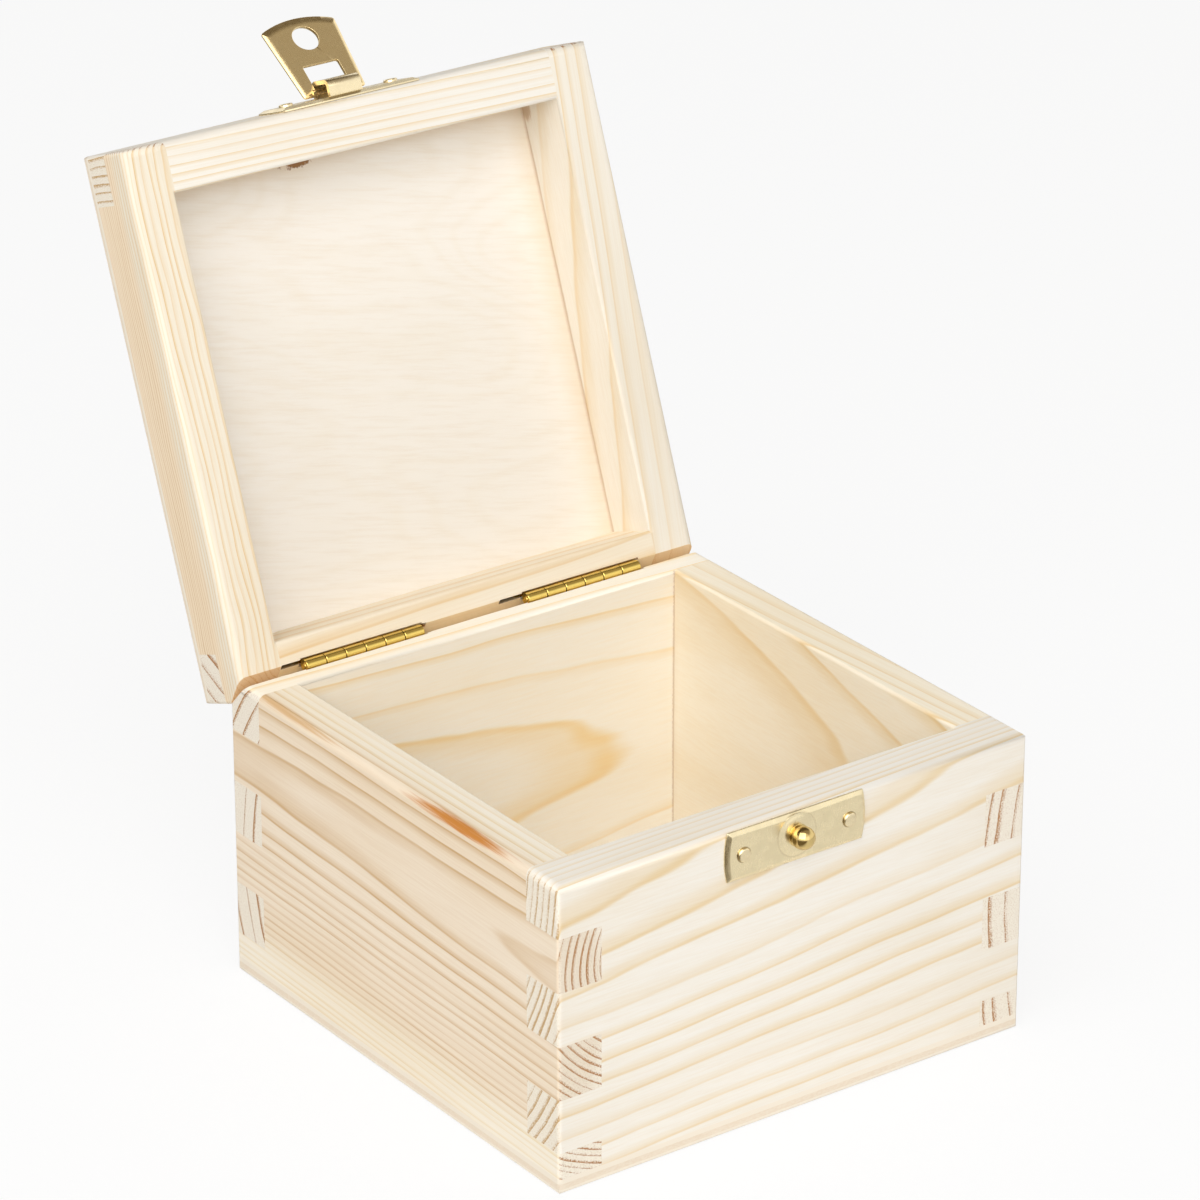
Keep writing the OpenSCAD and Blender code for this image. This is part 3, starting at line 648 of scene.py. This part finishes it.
# %% [markdown]
# ### Where the new fittings sit
# A pressed or turned fitting is easiest to model lying on its back: x along the plate, y up it, z out of the wood.
# One matrix then lays it on the front of the box, and for the lid's fittings the opening turn follows. The mesh
# takes the whole move, so the object itself stays at the origin.

# %% From the bench to the box
FRONT_Y, HARDWARE_X = -59.75, -1.1
STRIKE_Z, KNOB_Z, HASP_Z = 64.1, 64.7, 76.65
SMALL_FACE, SOFT_ANGLE = 2.0, math.radians(40)


def on_front(height, on_lid=False):
    """The move that takes a fitting from its back onto the front of the box at that height."""
    lay = Matrix.Translation(Vector((HARDWARE_X, FRONT_Y, height)) * MM) @ Matrix.Rotation(math.pi / 2, 4, "X")
    return opening @ lay if on_lid else lay


def fitting(name, bm, move, body, finish, node):
    """A bench model in millimetres becomes a piece on the box. Small faces are shaded smooth, broad ones flat."""
    for face in bm.faces:
        face.smooth = face.calc_area() < SMALL_FACE
    for edge in bm.edges:
        edge.smooth = edge.calc_face_angle(0) < SOFT_ANGLE
    bmesh.ops.scale(bm, vec=(MM, MM, MM), verts=bm.verts)
    bmesh.ops.transform(bm, matrix=move, verts=bm.verts)
    data = bpy.data.meshes.new(name)
    bm.to_mesh(data)
    bm.free()
    piece = bpy.data.objects.new(name, data)
    scene.collection.objects.link(piece)
    data.materials.append(finish)
    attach(piece, body)
    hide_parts(node)
    print(name, len(data.polygons), "faces")


print("fittings sit at x =", HARDWARE_X, "mm on the front")


# %% Turning, as on a lathe
def turned(bm, outline, centre=(0, 0), steps=48):
    """Spins an outline of (radius, height) points round the z axis and closes it."""
    dots = [bm.verts.new((r + centre[0], centre[1], h)) for r, h in outline]
    cuts = [bm.edges.new(pair) for pair in zip(dots, dots[1:])]
    bmesh.ops.spin(bm, geom=dots + cuts, cent=(centre[0], centre[1], 0), axis=(0, 0, 1), angle=2 * math.pi,
                   steps=steps, use_merge=True)
    bmesh.ops.remove_doubles(bm, verts=bm.verts, dist=1e-4)
    bmesh.ops.recalc_face_normals(bm, faces=bm.faces)


def add_turned(bm, outline, centre, steps):
    """Turns a shape on its own and adds it to a model."""
    own = bmesh.new()
    turned(own, outline, centre, steps)
    data = bpy.data.meshes.new("turned_shape")
    own.to_mesh(data)
    own.free()
    bm.from_mesh(data)
    bpy.data.meshes.remove(data)


print("outlines are turned about z")

# %% [markdown]
# ### Rolled hinges
# Each hinge is two leaves pressed into saw slots, with knuckles rolled round a pin. Only the barrel shows. A knuckle
# is a short tube, so its outline is spun about the pin's line, and the leaf behind it is a scaled cube. The base's
# leaf points down and the lid's leaf up, and they take every second knuckle.

# %% One leaf with its knuckles
HINGE_X, HINGE_LEN, KNUCKLES, GAP = 28.9, 30.4, 6, 0.2
BARREL_R, BORE_R, KNUCKLE_EASE = 1.45, 0.74, 0.12
LEAF_T, LEAF_DEPTH, LEAF_START, LEAF_Y = 0.8, 9.0, 1.8, -1.0
NECK_START, NECK_OVERLAP = 0.9, 0.1
ALONG_PIN = Matrix.Rotation(math.pi / 2, 3, "Y")


def block(bm, low, high):
    """A plain block between two corners."""
    size, middle = Vector(high) - Vector(low), (Vector(high) + Vector(low)) / 2
    bmesh.ops.create_cube(bm, size=1, matrix=Matrix.Translation(middle) @ Matrix.Diagonal((*size, 1)))


def leaf_strip(bm, low, high, pointing, start, end):
    """A strip of the leaf's sheet between two places along the pin, from start to end away from it."""
    bottom, top = sorted((pointing * start, pointing * end))
    block(bm, (low, LEAF_Y - LEAF_T / 2, bottom), (high, LEAF_Y + LEAF_T / 2, top))


def hinge_leaf(name, x, pointing, first, body):
    """One leaf with its knuckles, drawn about the pin's line."""
    bm = bmesh.new()
    pitch = HINGE_LEN / KNUCKLES
    spans = [(-HINGE_LEN / 2 + k * pitch + GAP / 2, -HINGE_LEN / 2 + (k + 1) * pitch - GAP / 2)
             for k in range(first, KNUCKLES, 2)]
    for low, high in spans:
        turned(bm, [(BORE_R, low), (BARREL_R - KNUCKLE_EASE, low), (BARREL_R, low + KNUCKLE_EASE),
                    (BARREL_R, high - KNUCKLE_EASE), (BARREL_R - KNUCKLE_EASE, high), (BORE_R, high), (BORE_R, low)])
    bmesh.ops.rotate(bm, matrix=ALONG_PIN, verts=bm.verts)
    for low, high in spans:
        leaf_strip(bm, low, high, pointing, NECK_START, LEAF_START + NECK_OVERLAP)
    leaf_strip(bm, -HINGE_LEN / 2, HINGE_LEN / 2, pointing, LEAF_START, LEAF_DEPTH)
    place = Matrix.Translation(hinge_line + Vector((x * MM, 0, 0)))
    fitting(name + "_piece", bm, opening @ place if body == "lid" else place, body, hinge_brass, name)


print("knuckles are", round(HINGE_LEN / KNUCKLES - GAP, 2), "mm long")

# %% Hinges
PIN_R, PIN_EASE, PIN_END = 0.7, 0.15, HINGE_LEN / 2
for side, x in (("left", -HINGE_X), ("right", HINGE_X)):
    hinge_leaf(side + "_hinge_base_leaf", x, -1, 0, "base")
    hinge_leaf(side + "_hinge_lid_leaf", x, 1, 1, "lid")
    bm = bmesh.new()
    turned(bm, [(0, -PIN_END), (PIN_R - PIN_EASE, -PIN_END), (PIN_R, PIN_EASE - PIN_END),
                (PIN_R, PIN_END - PIN_EASE), (PIN_R - PIN_EASE, PIN_END), (0, PIN_END)], steps=32)
    bmesh.ops.rotate(bm, matrix=ALONG_PIN, verts=bm.verts)
    fitting(side + "_hinge_pin_piece", bm, Matrix.Translation(hinge_line + Vector((x * MM, 0, 0))), "base",
            hinge_brass, side + "_hinge_pin")

# %% [markdown]
# ### The strike plate
# The plate is stamped: its rim slopes down to the wood all round, and a low boss stands in the middle under the
# knob. Its bulging ends are arcs of a large disc, so the blank starts as that disc, is cut with planes and mirrored.
# Extruding gives the edge, an inset that rises gives the sloping rim, and the boss is turned.

# %% The blank of the strike plate
PLATE_W, PLATE_H, PLATE_T, EDGE, RIM, END_R = 36.0, 11.2, 0.9, 0.35, 1.1, 22.75
END_SEGMENTS = 101


def whole(bm):
    """Every vertex, edge and face of a model."""
    return bm.verts[:] + bm.edges[:] + bm.faces[:]


def trim(bm, cuts):
    """Cuts a flat blank with planes, each a point and the way out, and keeps the inner side."""
    for point, out in cuts:
        bmesh.ops.bisect_plane(bm, geom=whole(bm), plane_co=point, plane_no=out, clear_outer=True)


def soften(bm, edges, width, segments):
    """Bevels edges by a width in millimetres."""
    bmesh.ops.bevel(bm, geom=edges, offset=width, segments=segments, profile=0.5, affect="EDGES",
                    clamp_overlap=True, material=-1)


bm = bmesh.new()
to_end = Matrix.Translation((PLATE_W / 2 - END_R, 0, 0)) @ Matrix.Rotation(-math.pi / 2, 4, "Z")
bmesh.ops.create_circle(bm, cap_ends=True, radius=END_R, segments=END_SEGMENTS, matrix=to_end)
trim(bm, (((0, 0, 0), (-1, 0, 0)), ((0, PLATE_H / 2, 0), (0, 1, 0)), ((0, -PLATE_H / 2, 0), (0, -1, 0))))
bmesh.ops.mirror(bm, geom=whole(bm), axis="X", merge_dist=1e-4)
bmesh.ops.remove_doubles(bm, verts=bm.verts, dist=1e-4)
bmesh.ops.recalc_face_normals(bm, faces=bm.faces)
seams = [e for e in bm.edges if len(e.link_faces) == 2]
bmesh.ops.dissolve_limit(bm, angle_limit=0.001, verts=[], edges=seams)
print("blank:", len(bm.verts), "points round it")

# %% Strike plate
top = bmesh.ops.extrude_face_region(bm, geom=bm.faces[:])["geom"]
bmesh.ops.translate(bm, vec=(0, 0, EDGE), verts=[v for v in top if isinstance(v, bmesh.types.BMVert)])
bmesh.ops.recalc_face_normals(bm, faces=bm.faces)
bmesh.ops.inset_region(bm, faces=[f for f in bm.faces if f.normal.z > 0.9], thickness=RIM, depth=0)
cap = [f for f in bm.faces if f.normal.z > 0.9 and len(f.verts) > 4]
bmesh.ops.translate(bm, vec=(0, 0, PLATE_T - EDGE), verts=list({v for f in cap for v in f.verts}))
soften(bm, [e for e in bm.edges if e.calc_face_angle(0) > math.radians(15)], 0.1, 2)
BOSS = [(0, 1.35), (2.4, 1.34), (3.3, 1.29), (3.8, 1.2), (4.15, 1.08), (4.45, 0.97), (4.8, 0.91), (4.85, 0.85),
        (0, 0.85)]
add_turned(bm, BOSS, (0, KNOB_Z - STRIKE_Z), 64)
fitting("strike_plate_piece", bm, on_front(STRIKE_Z), "base", strike_brass, "strike_plate")

# %% [markdown]
# ### Nails and knob
# These are round, so they are turned: an outline of a few points is spun about its axis. The nail heads are low
# and nearly flat, with an eased rim. The knob has a collar, a narrow neck and a ball, and its stud goes into the
# wood. The ball's own outline is an arc, which `spin` draws from a single point.

# %% Nails
NAIL_SPAN = 27.0
NAIL = [(0, 1.54), (0.9, 1.53), (1.22, 1.49), (1.42, 1.42), (1.52, 1.31), (1.55, 1.2), (1.55, 0.88), (0.65, 0.88),
        (0.65, -4.5), (0, -7.1)]
for name, height, body, on_lid in (("strike_nails", STRIKE_Z, "base", False), ("hasp_nails", HASP_Z, "lid", True)):
    bm = bmesh.new()
    for side in (-1, 1):
        add_turned(bm, NAIL, (side * NAIL_SPAN / 2, 0), 40)
    fitting(name + "_piece", bm, on_front(height, on_lid), body, plate_brass, name)

# %% Knob
BALL_R, BALL_Z, BALL_ARC = 2.5, 3.05, math.radians(128)
COLLAR_AND_STUD = [(1.75, 1.55), (1.9, 1.5), (2.3, 1.46), (2.45, 1.4), (2.45, 1.33), (0.9, 1.33), (0.9, -5.0),
                   (0, -5.0)]
bm = bmesh.new()
start = bm.verts.new((0, 0, BALL_Z + BALL_R))
bmesh.ops.spin(bm, geom=[start], cent=(0, 0, BALL_Z), axis=(0, 1, 0), angle=BALL_ARC, steps=16)
ball = sorted(((v.co.x, v.co.z) for v in bm.verts), key=lambda dot: -dot[1])
bm.free()
bm = bmesh.new()
turned(bm, ball + COLLAR_AND_STUD)
fitting("strike_knob_piece", bm, on_front(KNOB_Z), "base", knob_brass, "strike_knob")

# %% [markdown]
# ### The tongue
# The tongue is a thin stamped sheet: its rim is pressed away all round, so its inner side, which shows while it
# stands up, is a low cushion. It widens towards a round end, has a hole for the knob, and a window that a round
# bar closes inside the loop. The blank is again a disc cut with planes. An inset pushed up and bevelled makes the
# cushion, and the space round the hole is filled with `triangle_fill`.

# %% The blank of the tongue, its cushion and its hole
TONGUE_END, TONGUE_R, REACH, HOLE_R = 19.1, 23.8, 13.5, 3.1
ROOT_W, END_W, ROOT_Y = 15.7, 19.1, -0.95
SHEET, SLOPE, LIP, END_LIP = 0.8, 0.42, 1.1, 0.6
TONGUE_SEGMENTS = 92


def largest(bm):
    """The largest face of a model."""
    return max(bm.faces, key=lambda f: f.calc_area())


bm = bmesh.new()
bmesh.ops.create_circle(bm, cap_ends=True, radius=TONGUE_R, segments=TONGUE_SEGMENTS,
                        matrix=Matrix.Translation((0, TONGUE_END - TONGUE_R, 0)))
lean = Vector((TONGUE_END - ROOT_Y, -(END_W - ROOT_W) / 2, 0))
trim(bm, (((0, ROOT_Y, 0), (0, -1, 0)), ((ROOT_W / 2, ROOT_Y, 0), lean),
          ((-ROOT_W / 2, ROOT_Y, 0), Vector((-lean.x, lean.y, 0)))))
corners = [v.co.xy.copy() for v in bm.verts if max(e.calc_length() for e in v.link_edges) > 2]
bmesh.ops.inset_region(bm, faces=bm.faces[:], thickness=LIP, depth=0, use_boundary=True)
tray = largest(bm)
bmesh.ops.translate(bm, vec=(0, 0, SLOPE), verts=tray.verts[:])
bmesh.ops.translate(bm, vec=(0, -END_LIP, 0), verts=[v for v in tray.verts if v.co.y > REACH + 1.0])
soften(bm, tray.edges[:], 0.4, 3)
tray = largest(bm)
rim_edges = tray.edges[:]
bmesh.ops.delete(bm, geom=[tray], context="FACES_ONLY")
hole = bmesh.ops.create_circle(bm, cap_ends=False, radius=HOLE_R, segments=64,
                               matrix=Matrix.Translation((0, REACH, SLOPE)))["verts"]
hole_edges = list({e for v in hole for e in v.link_edges})
bmesh.ops.triangle_fill(bm, use_beauty=True, use_dissolve=False, edges=rim_edges + hole_edges)
print("cushion:", len(rim_edges), "edges round it,", len(hole_edges), "round the hole")

# %% [markdown]
# Planes cut the window out of the sheet. The sheet is then extruded, and the new side is scaled flat along z and
# moved down, so the far side is plain. Last come the rounded corners and the eased edges.

# %% Window, far side and corners
WINDOW_W, WINDOW_END = 9.1, 6.67
CORNER_R, TONGUE_EDGE = 0.5, 0.08
for point, out in (((WINDOW_W / 2, 0, 0), (1, 0, 0)), ((-WINDOW_W / 2, 0, 0), (-1, 0, 0)),
                   ((0, WINDOW_END, 0), (0, 1, 0))):
    bmesh.ops.bisect_plane(bm, geom=whole(bm), plane_co=point, plane_no=out)
middles = {f: f.calc_center_median() for f in bm.faces}
window = [f for f, middle in middles.items() if abs(middle.x) < WINDOW_W / 2 and middle.y < WINDOW_END]
bmesh.ops.delete(bm, geom=window, context="FACES")
bmesh.ops.dissolve_limit(bm, angle_limit=0.002, verts=bm.verts, edges=bm.edges)
bmesh.ops.recalc_face_normals(bm, faces=bm.faces)
copied = bmesh.ops.extrude_face_region(bm, geom=bm.faces[:])["geom"]
far_side = [v for v in copied if isinstance(v, bmesh.types.BMVert)]
bmesh.ops.scale(bm, vec=(1, 1, 0), verts=far_side)
bmesh.ops.translate(bm, vec=(0, 0, SLOPE - SHEET), verts=far_side)
bmesh.ops.recalc_face_normals(bm, faces=bm.faces)
corners += [Vector((side * WINDOW_W / 2, WINDOW_END)) for side in (-1, 1)]
upright = [e for e in bm.edges if (e.verts[0].co.xy - e.verts[1].co.xy).length < 1e-4
           and any((e.verts[0].co.xy - spot).length < 0.01 for spot in corners)]
soften(bm, upright, CORNER_R, 4)
soften(bm, [e for e in bm.edges if e.calc_face_angle(0) > math.radians(60)], TONGUE_EDGE, 2)
print("rounded corners:", len(upright))

# %% [markdown]
# The bar runs across the window and into the sheet on both sides. The tongue hangs from it, swung up to where it
# stands while the lid is open.

# %% Bar, and the tongue in its place
BAR_R, BAR_BITE = 0.65, 0.95
PIVOT_Y, PIVOT_Z, SWING = -62.0, 78.2, math.radians(122)
bmesh.ops.translate(bm, vec=(0, 0, SHEET / 2 - SLOPE), verts=bm.verts)
bmesh.ops.create_cone(bm, cap_ends=True, segments=32, radius1=BAR_R, radius2=BAR_R, depth=WINDOW_W + 2 * BAR_BITE,
                      matrix=Matrix.Rotation(math.pi / 2, 4, "Y"))
pivot = Matrix.Translation(Vector((HARDWARE_X, PIVOT_Y, PIVOT_Z)) * MM)
hang = pivot @ Matrix.Rotation(-SWING, 4, "X") @ Matrix.Rotation(-math.pi / 2, 4, "X")
fitting("hasp_tongue_piece", bm, opening @ hang, "tongue", tongue_brass, "hasp_tongue")
